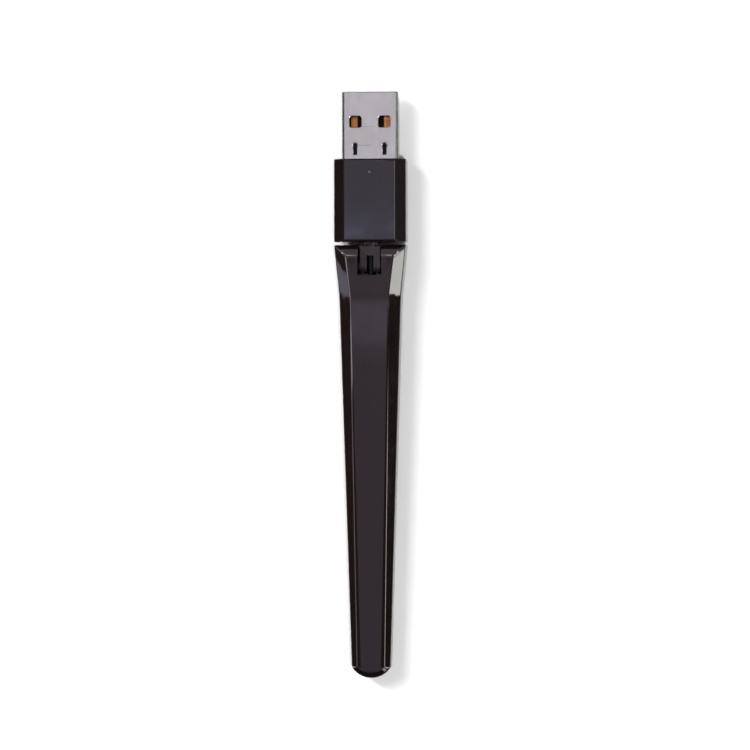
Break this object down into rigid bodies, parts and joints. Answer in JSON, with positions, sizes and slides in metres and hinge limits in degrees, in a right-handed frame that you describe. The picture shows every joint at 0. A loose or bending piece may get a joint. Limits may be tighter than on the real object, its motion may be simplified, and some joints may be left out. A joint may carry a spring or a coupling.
{
  "type": "usb wifi adapter",
  "caption": "Slim USB-A wireless network adapter with a bevelled black hub and a long flat tapering antenna that swivels and folds up on a hinge knuckle.",
  "frame": {"origin": "centre of the USB plug in the plane of the hub's front shoulder", "axes": "+Y out of the plug's mouth, +X to the right seen from the indicator side, +Z out of the face with the indicator pinhole"},
  "size_m": [0.0154, 0.1251, 0.008],
  "materials": {
    "casing_gloss_black": "polished black ABS with fine handling scratches",
    "plug_steel": "nickel-plated cold-rolled sheet, satin",
    "insulator_black": "moulded glass-filled resin, matt",
    "contact_gold": "gold flash over nickel, smooth",
    "circuit_board": "solder mask on glass-epoxy board",
    "chip_black": "moulded epoxy package, matt",
    "shield_tin": "tin-plated sheet, satin",
    "capacitor_ceramic": "sintered ceramic with tinned ends",
    "led_resin": "cast clear resin",
    "clear_guide": "clear acrylic, smooth",
    "cable_black": "fluoropolymer cable jacket, satin",
    "solder": "reflowed tin solder",
    "knuckle_black": "moulded acetal, satin",
    "copper": "bare etched copper",
    "tape_foam": "double-sided foam tape, matt"
  },
  "bodies": {
    "hub": {"hub_top_cover": "casing_gloss_black", "hub_bottom_cover": "casing_gloss_black", "plug_shell": "plug_steel", "plug_insulator": "insulator_black", "plug_contacts": "contact_gold", "main_pcb": "circuit_board", "wifi_chip": "chip_black", "rf_shield": "shield_tin", "crystal": "shield_tin", "voltage_regulator": "chip_black", "capacitors": "capacitor_ceramic", "resistors": "chip_black", "status_led": "led_resin", "light_guide": "clear_guide", "coax_hub": "cable_black", "hub_solder_joints": "solder"},
    "knuckle": {"hinge_knuckle": "knuckle_black", "coax_knuckle": "cable_black"},
    "antenna": {"antenna_top_shell": "casing_gloss_black", "antenna_bottom_cover": "casing_gloss_black", "antenna_board": "circuit_board", "antenna_traces": "copper", "coax_antenna": "cable_black", "antenna_solder_joints": "solder", "antenna_tape": "tape_foam"}
  },
  "joints": [
    {"name": "antenna_swivel", "type": "hinge", "parent": "hub", "child": "knuckle", "pos_m": [0, -0.01774, 0], "axis": [0, 1, 0], "range_deg": [-90, 90]},
    {"name": "antenna_fold", "type": "hinge", "parent": "knuckle", "child": "antenna", "pos_m": [0, -0.02287, 0.001], "axis": [-1, 0, 0], "range_deg": [0, 90]}
  ]
}
